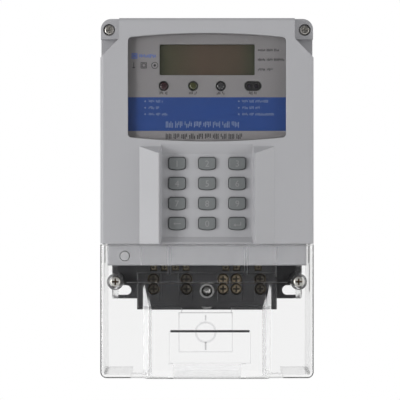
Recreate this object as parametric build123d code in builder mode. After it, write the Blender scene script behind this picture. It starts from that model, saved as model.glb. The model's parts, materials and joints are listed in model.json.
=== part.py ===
"""Single-phase prepayment electricity meter with a twelve-key pad and a clear terminal cover.

+Z is up, the wall is the plane Y = 0 and the meter's front faces -Y. The origin is the
middle of the back face. A depth d is a distance out from the wall and lies at Y = -d.
Sizes are in millimetres.
"""

from build123d import *
import os

# ---------------------------------------------------------------- overall sizes
width = 122.0            # case, side to side
height = 206.0           # top of the case to the foot of the terminal cover
base_depth = 26.0        # wall to the parting line between base and front cover
face_depth = 60.0        # wall to the flat front face
wall = 2.4               # moulded case wall
corner_radius = 6.0      # top corners of the case
edge_radius = 2.2        # rounding round the front face
half_width = width / 2
top = height / 2
bottom = -height / 2

# ---------------------------------------------------------------- clearances
slip = 0.2               # between moulded pieces that drop into each other
screw_slip = 0.05        # radial, between a screw and its thread
key_gap = 0.3            # round a key in its hole
cover_gap = 0.8          # between the terminal cover and what it laps over
cover_wall = 2.2         # clear terminal cover
cover_inner = face_depth - cover_wall
seal_head_back = face_depth - 2.4        # seat of the cover screws' heads

# ---------------------------------------------------------------- lower end of the case
cover_length = 76.5      # terminal cover, foot to top edge
step_z = bottom + cover_length + 0.4      # where the front face steps down to the lip
lip_length = 12.5        # lip that the terminal cover laps over
lip_half = half_width - 4.0
lip_depth = cover_inner - cover_gap
lip_z = step_z - lip_length
inside_depth = face_depth - 5.8      # inner side of the front cover
ear_half = half_width - 4.6
ear_foot = bottom + 43.1
ear_radius = 5.0
tongue = 4.0             # thickness of the ears and of the base behind the block

# ---------------------------------------------------------------- terminal block
block_half = 40.4
block_front = 46.0
block_foot = bottom + 38.7
block_top = lip_z + 4.6              # the block plugs up into the case
entry_radius = 3.2                   # conductor entries
entry_depth = 34.0                   # depth of the conductors' axis
brass_width = 8.4
brass_back, brass_front = 28.0, 42.0
brass_low, brass_high = bottom + 45.4, bottom + 60.0
main_rows = (bottom + 49.7, bottom + 56.2)
main_head_radius, main_shank_radius = 3.05, 2.2
single_terminals = {"live_in": -30.8, "live_out": -11.8, "neutral_out": 30.8}
pair_middle, pair_pitch = 13.2, 7.6  # two neutral entries share one brass
aux_row = bottom + 63.1
aux_columns = (-30.6, -24.4, -18.2, -12.0, 11.0, 17.2, 29.6)
aux_size = 3.8
aux_back, aux_front = 38.0, 46.0
shelf_front, shelf_z = 49.0, bottom + 59.7   # raised shelf that the small terminals sit in
aux_head_radius, aux_shank_radius = 1.75, 1.2
strip_width, strip_thick = 5.0, 1.5
strip_back = brass_back + 2.0
block_screw_z = bottom + 48.6
block_boss_radius, block_boss_depth = 4.5, 20.0
block_web_depth = 40.0               # seat of the block screw's head
bush_radius, bush_bore = 4.2, 3.2    # steel bush round that head

# ---------------------------------------------------------------- window and display
window_half = 45.3
window_high, window_low = top - 11.1, top - 68.2     # ends of the window's straight sides
window_rise = 2.5                                    # bow of its top and bottom edges
window_radius = 2.2
window_slope = 0.1                                   # draft of the recess, at its foot
window_land = face_depth - 0.8                       # depth where the slope ends
window_seat = window_land - 1.0                      # face that the lens is held against
lens_thick, lens_flange = 1.8, 1.8
plate_thick = 0.8
plate_back = window_seat - lens_thick - 0.4 - plate_thick
plate_lap = 1.0                                      # plate hidden behind the window's frame
lcd_x, lcd_z = 0.1, top - 23.8
lcd_width, lcd_height = 54.5, 17.6
lamp_z = top - 38.8
lamp_columns = {"pulse": -24.8, "alarm": -7.9, "power": 7.9}
lamp_radius, lamp_flange = 2.35, 2.75
port_x = 26.3
port_length, port_height = 9.4, 5.2
port_pitch = 4.2

# ---------------------------------------------------------------- keypad
key_pitch_x, key_pitch_z = 17.25, 11.46
key_width, key_height = 9.6, 6.2
key_bow = 0.9                        # bulge of a key's lower edge
pad_x, pad_z = 0.1, step_z + 29.1    # middle of the twelve keys
pad_floor = face_depth - 3.5
pad_half = 25.8
pad_low, pad_low_slope = step_z + 0.7, 3.1      # lower end of the recess, and its sloping part
pad_high, pad_high_slope = step_z + 57.0, 5.5
ridge_high, ridge_end_slope = step_z + 55.6, 3.9
ridge_base, ridge_crest, ridge_rise = 38.6, 27.2, 6.0
ridge_flat = 0.4                     # half the width of the crest
key_front = pad_floor + 1.8
key_back = inside_depth - 1.2
key_flange, key_flange_thick = 1.0, 1.0
key_travel = 1.2
mat_front = key_back - key_travel - 0.3

# ---------------------------------------------------------------- fastenings
case_screw_x, case_screw_z = half_width - 4.8, top - 6.3
case_screw_radius, case_head_radius = 1.75, 2.8
boss_radius = 3.9
sink_radius = 3.4                    # round the heads of the case screws
platform_depth = face_depth - 8.0    # platform that the case screws sink into
case_head_back = platform_depth - 2.6
notch_depth = platform_depth - 7.0
notch_x, notch_z = half_width - 10.8, top - 11.7
notch_drop = 12.0                    # height of the sloping lower half of the notch
cover_screw_x, cover_screw_z = half_width - 8.6, bottom + 55.2
cover_screw_radius, cover_head_radius = 2.0, 3.0
post_radius, post_depth = 3.2, base_depth + 8.0
slot_x, slot_z = half_width - 11.0, bottom + 48.1
slot_length, slot_width = 9.8, 5.8
keyhole_z = top - 22.0
keyhole_head, keyhole_neck, keyhole_run = 4.6, 2.5, 7.0
pocket_half, pocket_under, pocket_over = 7.0, 6.0, 4.0
pocket_depth, pocket_wall = 9.0, 1.6
plunger_x, plunger_z = -47.0, lip_z + 5.5
plunger_radius, plunger_travel = 2.65, 1.5

# ---------------------------------------------------------------- boards
board_thick = 1.6
main_board_depth = 10.0
front_board_depth = inside_depth - 6.7
board_screw_radius, board_head_radius, board_hole_slip = 1.25, 2.4, 0.15
board_post_radius, panel_post_radius = 3.0, 2.4
board_screw_length = 4.0             # below the board
main_front = main_board_depth + board_thick
panel_front = front_board_depth + board_thick


def front(depth):
    """Sketch plane at this distance from the wall: x is X, y is Z, and extrusions go forward."""
    return Plane.XZ.offset(depth)


def save(part, label):
    part.label = label
    export_step(part, f"parts/{label}.step")


def prism(face, depth, at=((0, 0),), mode=Mode.ADD):
    """An outline extruded between two depths, once at each (x, z) place."""
    with BuildSketch(front(depth[0])) as placed:
        with Locations(*at):
            add(face)
    extrude(placed.sketch, amount=depth[1] - depth[0], mode=mode)


def rectangle(x, z, radius=0.0):
    """A flat rectangle between two x and two z values."""
    with BuildSketch() as face:
        with Locations(((x[0] + x[1]) / 2, (z[0] + z[1]) / 2)):
            Rectangle(x[1] - x[0], z[1] - z[0])
        if radius:
            fillet(face.vertices(), radius)
    return face.sketch


def disc(radius, inner=0.0):
    with BuildSketch() as face:
        Circle(radius)
        if inner:
            Circle(inner, mode=Mode.SUBTRACT)
    return face.sketch


def block(x, depth, z, mode=Mode.ADD):
    """A box from three (low, high) pairs."""
    prism(rectangle(x, z), depth, mode=mode)


def mirrored(x, z):
    """The same height on both sides."""
    return [(-x, z), (x, z)]


def body_face(inset=0.0):
    """The wide part of the case, with its rounded top corners."""
    with BuildSketch() as face:
        with Locations((0, (top + step_z) / 2)):
            Rectangle(2 * (half_width - inset), top - step_z - 2 * inset)
        fillet(face.vertices().group_by(Axis.Y)[-1], max(corner_radius - inset, 0.5))
    return face.sketch


def case_face(inset=0.0):
    """The whole case: the wide part and the narrower lip under it."""
    with BuildSketch() as face:
        add(body_face(inset))
        with Locations((0, (step_z + lip_z) / 2 + inset)):
            Rectangle(2 * (lip_half - inset), step_z - lip_z)
    return face.sketch


def ring_face(outer, inner):
    with BuildSketch() as face:
        add(case_face(outer))
        add(case_face(inner), mode=Mode.SUBTRACT)
    return face.sketch


def window_face(inset=0.0):
    """The window: straight sides, top and bottom edges that bow outward."""
    half, high, low = window_half - inset, window_high - inset, window_low + inset
    with BuildSketch() as face:
        with BuildLine():
            Line((-half, low), (-half, high))
            ThreePointArc((-half, high), (0, high + window_rise), (half, high))
            Line((half, high), (half, low))
            ThreePointArc((half, low), (0, low - window_rise), (-half, low))
        make_face()
        fillet(face.vertices(), window_radius)
    return face.sketch


def key_face(grow=0.0):
    """A key: a rounded rectangle whose lower edge bows down."""
    half, rise = key_width / 2 + grow, key_height / 2 + grow
    with BuildSketch() as face:
        with BuildLine():
            Line((-half, -rise), (-half, rise))
            Line((-half, rise), (half, rise))
            Line((half, rise), (half, -rise))
            ThreePointArc((half, -rise), (0, -rise - key_bow), (-half, -rise))
        make_face()
        fillet(face.vertices(), 1.4 + grow)
    return face.sketch


def notch_face(grow=0.0):
    """The corner pocket on the right: a rectangle at the top, cut off at a slant below."""
    left = notch_x - grow
    with BuildSketch() as face:
        with BuildLine():
            Polyline(
                (left, top + 1),
                (left, notch_z - grow),
                (half_width + 1, notch_z - notch_drop - 1.4 * grow),
                (half_width + 1, top + 1),
                close=True,
            )
        make_face()
    return face.sketch


def both_sides(face):
    with BuildSketch() as pair:
        add(face)
        mirror(about=Plane.YZ)
    return pair.sketch


def screw(name, places, head, shank, recess=True):
    """Identical pan-head screws; head and shank are (radius, back depth, front depth)."""
    with BuildPart() as screws:
        prism(disc(head[0]), (head[1], head[2]), places)
        fillet(front_edges(screws), (head[2] - head[1]) * 0.4)
        if recess:
            arm, half = head[0] * 0.64, head[0] * 0.17
            prism(rectangle((-arm, arm), (-half, half)), (head[2] - 1.3, head[2]), places, Mode.SUBTRACT)
            prism(rectangle((-half, half), (-arm, arm)), (head[2] - 1.3, head[2]), places, Mode.SUBTRACT)
        prism(disc(shank[0]), (shank[1], shank[2]), places)
    save(screws.part, name)


def front_edges(built):
    """The edges that lie furthest from the wall."""
    return built.edges().group_by(Axis.Y)[0]


brasses = {name: (x, brass_width) for name, x in single_terminals.items()}
brasses["neutral_in"] = (pair_middle, brass_width + pair_pitch)
entries = [*single_terminals.values(), pair_middle - pair_pitch / 2, pair_middle + pair_pitch / 2]
key_names = ("1", "2", "3", "4", "5", "6", "7", "8", "9", "clear", "0", "enter")
key_spots = {
    name: (pad_x + (i % 3 - 1) * key_pitch_x, pad_z + (1.5 - i // 3) * key_pitch_z)
    for i, name in enumerate(key_names)
}
case_screws = mirrored(case_screw_x, case_screw_z)
cover_screws = mirrored(cover_screw_x, cover_screw_z)
main_posts = mirrored(45.0, lip_z + 14.0) + mirrored(45.0, top - 22.0)
panel_posts = mirrored(49.4, window_low + 6.0) + mirrored(49.4, window_high - 17.0)
panel_posts += mirrored(33.0, step_z + 14.0)

os.makedirs("parts", exist_ok=True)

# ================================================================ base case
# A black tray against the wall. Its lower end carries the tongue behind the terminal
# block, two ears with slots for the wall screws, and a post for each cover screw.
rim_outer, rim_inner = 1.3, wall
rim_depth = base_depth + 1.2
gasket_thick = 0.4
back_panel_x = (10.0, 52.0)
back_panels = ((step_z + 8, step_z + 46), (step_z + 54, step_z + 94))
back_panel_sink = 0.8

with BuildPart() as base_case:
    prism(case_face(), (0, base_depth))
    prism(case_face(wall), (wall, base_depth), mode=Mode.SUBTRACT)
    prism(ring_face(rim_outer, rim_inner), (base_depth - 1, rim_depth))
    block((-block_half, block_half), (0, tongue), (block_foot, lip_z + wall))
    with BuildSketch(front(0)) as ears:
        with Locations((0, (ear_foot + lip_z + wall) / 2)):
            Rectangle(2 * ear_half, lip_z + wall - ear_foot)
        fillet(ears.vertices().group_by(Axis.Y)[0], ear_radius)
    extrude(amount=tongue)
    prism(disc(boss_radius), (1, base_depth), case_screws)
    prism(disc(post_radius), (1, post_depth), cover_screws)
    prism(disc(block_boss_radius), (1, block_boss_depth), [(0, block_screw_z)])
    prism(disc(board_post_radius), (1, main_board_depth), main_posts)
    # opening that the terminal block plugs into
    block(
        (-block_half - slip, block_half + slip),
        (tongue, rim_depth + 1),
        (lip_z - 1, block_top + slip),
        mode=Mode.SUBTRACT,
    )
    # keyhole for the upper wall screw, with a closed pocket behind it
    pocket_z = (keyhole_z - pocket_under, keyhole_z + keyhole_run + pocket_over)
    housing_z = (pocket_z[0] - pocket_wall, pocket_z[1] + pocket_wall)
    block((-pocket_half - pocket_wall, pocket_half + pocket_wall), (1, pocket_depth), housing_z)
    block((-pocket_half, pocket_half), (wall, pocket_depth - pocket_wall), pocket_z, Mode.SUBTRACT)
    prism(disc(keyhole_head), (0, wall), [(0, keyhole_z)], Mode.SUBTRACT)
    prism(disc(keyhole_neck), (0, wall), [(0, keyhole_z + keyhole_run)], Mode.SUBTRACT)
    block((-keyhole_neck, keyhole_neck), (0, wall), (keyhole_z, keyhole_z + keyhole_run), Mode.SUBTRACT)
    # slots for the lower wall screws
    with BuildSketch(front(0)):
        with Locations(*mirrored(slot_x, slot_z)):
            SlotOverall(slot_length, slot_width)
    extrude(amount=tongue, mode=Mode.SUBTRACT)
    # screw holes
    prism(disc(case_screw_radius + screw_slip), (8, base_depth), case_screws, Mode.SUBTRACT)
    prism(disc(cover_screw_radius + screw_slip), (14, post_depth), cover_screws, Mode.SUBTRACT)
    prism(disc(cover_screw_radius + screw_slip), (5, block_boss_depth), [(0, block_screw_z)], Mode.SUBTRACT)
    prism(disc(board_screw_radius + screw_slip), (3, main_board_depth), main_posts, Mode.SUBTRACT)
    prism(disc(boss_radius + slip), (base_depth, rim_depth), case_screws, Mode.SUBTRACT)
    # shallow panels moulded into the back
    for panel_z in back_panels:
        for panel_x in ((-back_panel_x[1], -back_panel_x[0]), back_panel_x):
            prism(rectangle(panel_x, panel_z, 3.0), (0, back_panel_sink), mode=Mode.SUBTRACT)
save(base_case.part, "base_case")

with BuildPart() as cover_gasket:
    prism(ring_face(rim_outer, rim_inner), (rim_depth, rim_depth + gasket_thick))
    prism(disc(boss_radius + slip), (rim_depth, rim_depth + 1), case_screws, Mode.SUBTRACT)
    block(
        (-block_half - slip, block_half + slip),
        (rim_depth, rim_depth + 1),
        (lip_z, block_top),
        mode=Mode.SUBTRACT,
    )
save(cover_gasket.part, "cover_gasket")

# ================================================================ front cover
# The grey moulding: window recess, keypad recess between two wedge-shaped ridges,
# a notch at each top corner for its screws, and the lip under the terminal cover.
with BuildPart() as pad_recess:
    with BuildSketch(Plane.XY.offset(pad_low)):
        with BuildLine():
            Polyline(
                (-pad_half, -pad_floor),
                (pad_half, -pad_floor),
                (ridge_crest, -face_depth - ridge_rise - 1),
                (-ridge_crest, -face_depth - ridge_rise - 1),
                close=True,
            )
        make_face()
    extrude(amount=pad_high - pad_low)
    with BuildSketch(Plane.YZ):
        with BuildLine():
            Polyline(
                (-pad_floor, pad_low + pad_low_slope),
                (-face_depth, pad_low),
                (-face_depth - ridge_rise - 1, pad_low),
                (-face_depth - ridge_rise - 1, pad_high),
                (-face_depth, pad_high),
                (-pad_floor, pad_high - pad_high_slope),
                close=True,
            )
        make_face()
    extrude(amount=ridge_base, both=True, mode=Mode.INTERSECT)

with BuildPart() as window_recess:
    with BuildSketch(front(window_land)):
        add(window_face(window_slope))
    with BuildSketch(front(face_depth)):
        add(window_face())
    loft()

with BuildPart() as front_cover:
    prism(case_face(), (base_depth, lip_depth))
    prism(body_face(), (lip_depth, face_depth))
    fillet(front_edges(front_cover).sort_by(Axis.Z)[1:], edge_radius)
    lip_edges = front_cover.edges().filter_by(
        lambda edge: abs(edge.center().Y + lip_depth) < 0.01 and edge.center().Z < step_z - 1
    )
    fillet(lip_edges, 1.0)
    # ridges
    with BuildSketch(Plane.XY.offset(step_z)) as ridge:
        with BuildLine():
            Polyline(
                (ridge_base, -face_depth),
                (ridge_crest + ridge_flat, -face_depth - ridge_rise),
                (ridge_crest - ridge_flat, -face_depth - ridge_rise),
                (pad_half, -pad_floor - 1),
                (ridge_base, -pad_floor - 1),
                close=True,
            )
        make_face()
        fillet(ridge.vertices().group_by(Axis.Y)[0], 0.35)
        mirror(about=Plane.YZ)
    extrude(amount=ridge_high - step_z)
    with BuildSketch(Plane.YZ):
        with BuildLine():
            Polyline(
                (-face_depth, ridge_high),
                (-face_depth - ridge_rise, ridge_high - ridge_end_slope),
                (-face_depth - ridge_rise - 1, ridge_high - ridge_end_slope),
                (-face_depth - ridge_rise - 1, ridge_high),
                close=True,
            )
        make_face()
    extrude(amount=ridge_base + 1, both=True, mode=Mode.SUBTRACT)
    add(pad_recess.part, mode=Mode.SUBTRACT)
    # hollow inside, leaving a column under each corner notch
    with BuildSketch() as hollow:
        add(case_face(wall))
        add(both_sides(notch_face(wall)), mode=Mode.SUBTRACT)
    prism(hollow.sketch, (base_depth, inside_depth), mode=Mode.SUBTRACT)
    skin = (inside_depth - 1, face_depth - wall)
    beside_pad_z = (step_z + wall, window_low - window_rise - wall)
    beside_window_z = (beside_pad_z[1] - 1, notch_z - notch_drop - wall)
    for side in (-1, 1):
        edge = side * (half_width - wall)
        block(sorted((side * (pad_half + 7), edge)), skin, beside_pad_z, Mode.SUBTRACT)
        block(sorted((side * (window_half + wall), edge)), skin, beside_window_z, Mode.SUBTRACT)
    prism(disc(panel_post_radius), (panel_front, face_depth - wall), panel_posts)
    pilot = disc(board_screw_radius + screw_slip)
    prism(pilot, (panel_front, panel_front + board_screw_length), panel_posts, Mode.SUBTRACT)
    # rebate for the base's rim and its gasket
    rebate = (base_depth, rim_depth + gasket_thick)
    prism(case_face(rim_outer - slip), rebate, mode=Mode.SUBTRACT)
    prism(disc(boss_radius), (rebate[0], rebate[1] + 1), case_screws)
    # window
    add(window_recess.part, mode=Mode.SUBTRACT)
    prism(window_face(window_slope), (inside_depth - 1, window_land), mode=Mode.SUBTRACT)
    prism(window_face(window_slope - lens_flange - slip), (inside_depth - 1, window_seat), mode=Mode.SUBTRACT)
    # key holes
    prism(key_face(key_gap), (inside_depth - 1, pad_floor), list(key_spots.values()), Mode.SUBTRACT)
    # corner notches and case screws
    prism(both_sides(notch_face()), (platform_depth, face_depth + 1), mode=Mode.SUBTRACT)
    with BuildSketch() as slant:
        add(both_sides(notch_face()))
        with Locations((0, notch_z)):
            Rectangle(2 * width, top, align=(Align.CENTER, Align.MIN), mode=Mode.SUBTRACT)
    prism(slant.sketch, (notch_depth, face_depth), mode=Mode.SUBTRACT)
    prism(disc(sink_radius), (case_head_back, platform_depth), case_screws, Mode.SUBTRACT)
    prism(disc(case_screw_radius + slip), (base_depth, platform_depth), case_screws, Mode.SUBTRACT)
    # plunger hole, and the opening over the terminal block
    prism(disc(plunger_radius + 0.3), (inside_depth - 1, lip_depth), [(plunger_x, plunger_z)], Mode.SUBTRACT)
    block(
        (-block_half - slip, block_half + slip),
        (base_depth, shelf_front + slip),
        (lip_z - 1, block_top + slip),
        mode=Mode.SUBTRACT,
    )
save(front_cover.part, "front_cover")

# ================================================================ window, nameplate and display
carrier_half = window_half - window_slope - 0.6
carrier_low, carrier_high = window_low - 0.2, window_high + 0.2

with BuildPart() as window_lens:
    prism(window_face(window_slope - lens_flange), (window_seat - lens_thick, window_seat - 0.5))
    prism(window_face(window_slope + slip), (window_seat - 0.5, window_seat))
save(window_lens.part, "window_lens")

with BuildSketch() as display_holes:
    with Locations((lcd_x, lcd_z)):
        RectangleRounded(lcd_width, lcd_height, 0.8)
    with Locations(*[(x, lamp_z) for x in lamp_columns.values()]):
        Circle(lamp_flange + slip)
    with Locations((port_x, lamp_z)):
        SlotOverall(port_length + 2 * slip, port_height + 2 * slip)

with BuildPart() as nameplate:
    prism(window_face(window_slope - plate_lap), (plate_back, plate_back + plate_thick))
    prism(display_holes.sketch, (plate_back, plate_back + plate_thick), mode=Mode.SUBTRACT)
save(nameplate.part, "nameplate")

# moulded frame on the front board: it holds the nameplate, the display and the lamps
glass_margin, glass_contacts = 2.2, 3.2      # glass beyond the view, and at its lower edge
glass_x = (lcd_x - lcd_width / 2 - glass_margin, lcd_x + lcd_width / 2 + glass_margin)
glass_z = (lcd_z - lcd_height / 2 - glass_contacts, lcd_z + lcd_height / 2 + glass_margin)
rib = 2.0                                    # frame left round the hollows in the carrier
backlight_front = panel_front + 3.8
glass_front = backlight_front + 1.2
with BuildPart() as display_carrier:
    block((-carrier_half, carrier_half), (panel_front, plate_back), (carrier_low, carrier_high))
    prism(display_holes.sketch, (panel_front, plate_back), mode=Mode.SUBTRACT)
    prism(
        rectangle((glass_x[0] - slip, glass_x[1] + slip), (glass_z[0] - slip, glass_z[1] + slip)),
        (panel_front, glass_front + 0.1),
        mode=Mode.SUBTRACT,
    )
    hollow_z = (carrier_low + rib, lamp_z - lamp_flange - rib)
    for left in (-carrier_half + rib, rib):
        hollow_x = (left, left + carrier_half - 2 * rib)
        block(hollow_x, (panel_front, plate_back - 1.2), hollow_z, Mode.SUBTRACT)
save(display_carrier.part, "display_carrier")

with BuildPart() as lcd_backlight:
    block(glass_x, (panel_front, backlight_front), glass_z)
save(lcd_backlight.part, "lcd_backlight")

with BuildPart() as lcd_glass:
    block(glass_x, (backlight_front, glass_front), glass_z)
save(lcd_glass.part, "lcd_glass")

for lamp, x in lamp_columns.items():
    with BuildPart() as led:
        prism(disc(lamp_flange), (panel_front, panel_front + 0.8), [(x, lamp_z)])
        prism(disc(lamp_radius), (panel_front, plate_back + plate_thick + 0.2), [(x, lamp_z)])
        fillet(front_edges(led), 1.1)
    save(led.part, f"{lamp}_led")

port_eyes = [(port_x - port_pitch / 2, lamp_z), (port_x + port_pitch / 2, lamp_z)]
eye_radius = 1.2
with BuildPart() as ir_housing:
    with BuildSketch(front(panel_front)):
        with Locations((port_x, lamp_z)):
            SlotOverall(port_length, port_height)
    extrude(amount=plate_back + plate_thick + 0.2 - panel_front)
    prism(disc(eye_radius + 0.1), (panel_front, plate_back + plate_thick + 1), port_eyes, Mode.SUBTRACT)
save(ir_housing.part, "ir_housing")

for name, eye in zip(("ir_emitter", "ir_receiver"), port_eyes):
    with BuildPart() as diode:
        prism(disc(eye_radius), (panel_front, plate_back + 0.4), [eye])
        fillet(front_edges(diode), 0.5)
    save(diode.part, name)

# ================================================================ front board and keypad
with BuildPart() as front_board:
    with BuildSketch(front(front_board_depth)):
        add(rectangle((-52.5, 52.5), (step_z + 6, notch_z - notch_drop - 5)))
        add(rectangle((-45.5, 45.5), (step_z + 40, top - 12)))
    extrude(amount=board_thick)
    board_hole = disc(board_screw_radius + board_hole_slip)
    prism(board_hole, (front_board_depth, panel_front), panel_posts, Mode.SUBTRACT)
save(front_board.part, "front_board")

mat_half_x = key_pitch_x + key_width / 2 + 2.0
mat_half_z = 1.5 * key_pitch_z + key_height / 2 + 2.5
mat_sheet = mat_front - 1.0
with BuildPart() as keypad_mat:
    block(
        (pad_x - mat_half_x, pad_x + mat_half_x),
        (panel_front, mat_sheet),
        (pad_z - mat_half_z, pad_z + mat_half_z),
    )
    prism(key_face(-0.6), (mat_sheet, mat_front), list(key_spots.values()))
save(keypad_mat.part, "keypad_mat")

for name, spot in key_spots.items():
    with BuildPart() as key:
        prism(key_face(key_flange), (key_back, key_back + key_flange_thick), [spot])
        prism(key_face(), (key_back, key_front), [spot])
        fillet(front_edges(key), 0.6)
    save(key.part, f"key_{name}")

# ================================================================ opening detector
# A plunger through the lip, pushed in when the terminal cover goes on, and the
# switch behind it on a bracket of its own.
plunger_spot = [(plunger_x, plunger_z)]
plunger_front = cover_inner - 0.3
plunger_back = inside_depth - 3.0
with BuildPart() as tamper_plunger:
    prism(disc(plunger_radius), (plunger_back, plunger_front), plunger_spot)
    fillet(front_edges(tamper_plunger), 0.4)
    flange = rectangle((-4.0, 4.0), (-2.6, 4.0))
    prism(flange, (inside_depth - 1.5, inside_depth - 0.5), plunger_spot)
save(tamper_plunger.part, "tamper_plunger")

switch_front = plunger_back - plunger_travel - 0.3
switch_x = (plunger_x - 3.0, plunger_x + 3.0)
switch_foot = main_front + 8.0
with BuildPart() as tamper_switch:
    block(switch_x, (switch_foot, switch_front), (plunger_z - 1.0, plunger_z + 5.0))
    block(switch_x, (main_front, switch_foot), (plunger_z + 2.0, plunger_z + 5.0))
save(tamper_switch.part, "tamper_switch")

# ================================================================ terminal block
aux_places = [(x, aux_row) for x in aux_columns]
main_places = [(x, row) for x in entries for row in main_rows]
blank_edges = (-26.2, -16.2)
foot_ribs = ((-40.0, -17.0), (17.0, 40.0))
with BuildPart() as terminal_block:
    block((-block_half, block_half), (tongue, block_front), (block_foot, block_top))
    fillet(terminal_block.edges().filter_by(Axis.Z).group_by(Axis.Y)[0], 1.0)
    block((-block_half, block_half), (tongue, shelf_front), (shelf_z, block_top))
    fillet(front_edges(terminal_block).filter_by(Axis.X), 0.8)
    # raised ribs either side of the blank between the live terminals, and along the foot
    for x in blank_edges:
        block((x - 0.4, x + 0.4), (block_front, block_front + 0.6), (brass_low, brass_high))
    for foot_x in foot_ribs:
        block(foot_x, (block_front, block_front + 0.5), (block_foot + 1.6, block_foot + 2.2))
    # a raised pad over each brass, the cavity that it is moulded into, and its screw holes
    for x, size in brasses.values():
        pad_x_half = size / 2 - 0.8
        pad = ((x - pad_x_half, x + pad_x_half), (block_front, block_front + 0.7))
        block(*pad, (block_foot + 4, shelf_z))
        brass_x = (x - size / 2, x + size / 2)
        block(brass_x, (brass_back, brass_front), (brass_low, brass_high), Mode.SUBTRACT)
        block(
            (x - strip_width / 2 - slip, x + strip_width / 2 + slip),
            (strip_back - slip, strip_back + strip_thick + slip),
            (brass_high, block_top),
            mode=Mode.SUBTRACT,
        )
    hole = disc(main_head_radius + 0.35)
    prism(hole, (brass_front, block_front + 1), main_places, Mode.SUBTRACT)
    half = aux_size / 2 + slip
    aux_pocket = rectangle((-half, half), (-half, half))
    prism(aux_pocket, (aux_back, shelf_front + 1), aux_places, Mode.SUBTRACT)
    with BuildSketch(Plane.XY.offset(block_foot)):
        with Locations(*[(x, -entry_depth) for x in entries]):
            Circle(entry_radius)
    extrude(amount=brass_low - block_foot, mode=Mode.SUBTRACT)
    # screw to the base
    seat = [(0, block_screw_z)]
    prism(disc(block_boss_radius + slip), (tongue, block_boss_depth + slip), seat, Mode.SUBTRACT)
    prism(disc(cover_screw_radius + slip), (tongue, block_web_depth), seat, Mode.SUBTRACT)
    prism(disc(bush_radius), (block_web_depth, block_front), seat, Mode.SUBTRACT)
    # the corners of the plug that the case's lower walls go round
    plug_z = (lip_z + wall + 0.3, block_top + 1)
    for side in (-1, 1):
        cut_x = sorted((side * (block_half - 1), side * (block_half + 1)))
        block(cut_x, (tongue, shelf_front), plug_z, Mode.SUBTRACT)
save(terminal_block.part, "terminal_block")

for name, (x, size) in brasses.items():
    columns = [x] if size == brass_width else [x - pair_pitch / 2, x + pair_pitch / 2]
    with BuildPart() as brass:
        block((x - size / 2, x + size / 2), (brass_back, brass_front), (brass_low, brass_high))
        with BuildSketch(Plane.XY.offset(brass_low)):
            with Locations(*[(column, -entry_depth) for column in columns]):
                Circle(entry_radius)
        extrude(amount=brass_high - brass_low - 1.6, mode=Mode.SUBTRACT)
        holes = [(column, row) for column in columns for row in main_rows]
        prism(disc(main_shank_radius + screw_slip), (entry_depth, brass_front), holes, Mode.SUBTRACT)
    save(brass.part, f"{name}_terminal")

screw(
    "main_terminal_screws",
    main_places,
    (main_head_radius, brass_front, brass_front + 2.4),
    (main_shank_radius, entry_depth + entry_radius, brass_front),
)

half = aux_size / 2
with BuildPart() as aux_terminals:
    prism(rectangle((-half, half), (-half, half)), (aux_back, aux_front), aux_places)
    prism(disc(aux_shank_radius + screw_slip), (aux_front - 5, aux_front), aux_places, Mode.SUBTRACT)
save(aux_terminals.part, "aux_terminals")
screw(
    "aux_terminal_screws",
    aux_places,
    (aux_head_radius, aux_front, aux_front + 1.4),
    (aux_shank_radius, aux_front - 4.5, aux_front),
)
with BuildPart() as block_screw_bush:
    prism(disc(bush_radius, bush_bore), (block_web_depth, block_front + 1.6), seat)
save(block_screw_bush.part, "block_screw_bush")

with BuildPart() as block_screw:
    prism(disc(bush_bore - slip), (block_web_depth, block_front - 1.0), seat)
    fillet(front_edges(block_screw), bush_bore - slip - 0.3)
    prism(disc(cover_screw_radius), (block_boss_depth - 12, block_web_depth), seat)
save(block_screw.part, "block_screw")

# ================================================================ power path and main board
live_in_x, live_out_x = single_terminals["live_in"], single_terminals["live_out"]
neutral_out_x = single_terminals["neutral_out"]
with BuildPart() as main_board:
    with BuildSketch(front(main_board_depth)):
        add(rectangle((-50, 50), (block_top + 4.5, top - 16)))
        add(rectangle((-11, 11), (pocket_z[0] - 4, top)), mode=Mode.SUBTRACT)
    extrude(amount=board_thick)
    prism(board_hole, (main_board_depth, main_front), main_posts, Mode.SUBTRACT)
save(main_board.part, "main_board")

relay_x = (live_in_x - 13.2, live_out_x + 3.8)
relay_z = (block_top + 14.0, block_top + 42.0)
relay_front = main_front + 22.0
with BuildPart() as latching_relay:
    block(relay_x, (main_front, relay_front), relay_z)
    fillet(front_edges(latching_relay), 1.0)
save(latching_relay.part, "latching_relay")

strip = (strip_back, strip_back + strip_thick)
shunt_cut = 0.5
half_strip = strip_width / 2
with BuildPart() as current_shunt:
    block((live_in_x - half_strip, live_in_x + half_strip), strip, (brass_high, relay_z[0]))
    for side in (-1, 1):
        block(
            sorted((live_in_x + side * half_strip, live_in_x + side * (half_strip - shunt_cut))),
            strip,
            (block_top + 3, block_top + 9),
            mode=Mode.SUBTRACT,
        )
save(current_shunt.part, "current_shunt")

with BuildPart() as live_link:
    block((live_out_x - half_strip, live_out_x + half_strip), strip, (brass_high, relay_z[0]))
save(live_link.part, "live_link")

arch_z = block_top + 20.0
with BuildPart() as neutral_link:
    block((pair_middle - half_strip, pair_middle + half_strip), strip, (brass_high, arch_z))
    block((neutral_out_x - half_strip, neutral_out_x + half_strip), strip, (brass_high, arch_z))
    block((pair_middle - half_strip, neutral_out_x + half_strip), strip, (arch_z - strip_width, arch_z))
save(neutral_link.part, "neutral_link")

with BuildPart() as current_transformer:
    with BuildSketch(Plane.XY.offset(block_top + 3)):
        with Locations((pair_middle, -strip_back - strip_thick / 2)):
            Circle(8.5)
            Circle(half_strip + 0.9, mode=Mode.SUBTRACT)
    extrude(amount=8)
    fillet(current_transformer.edges().filter_by(GeomType.CIRCLE), 1.0)
save(current_transformer.part, "current_transformer")

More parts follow.
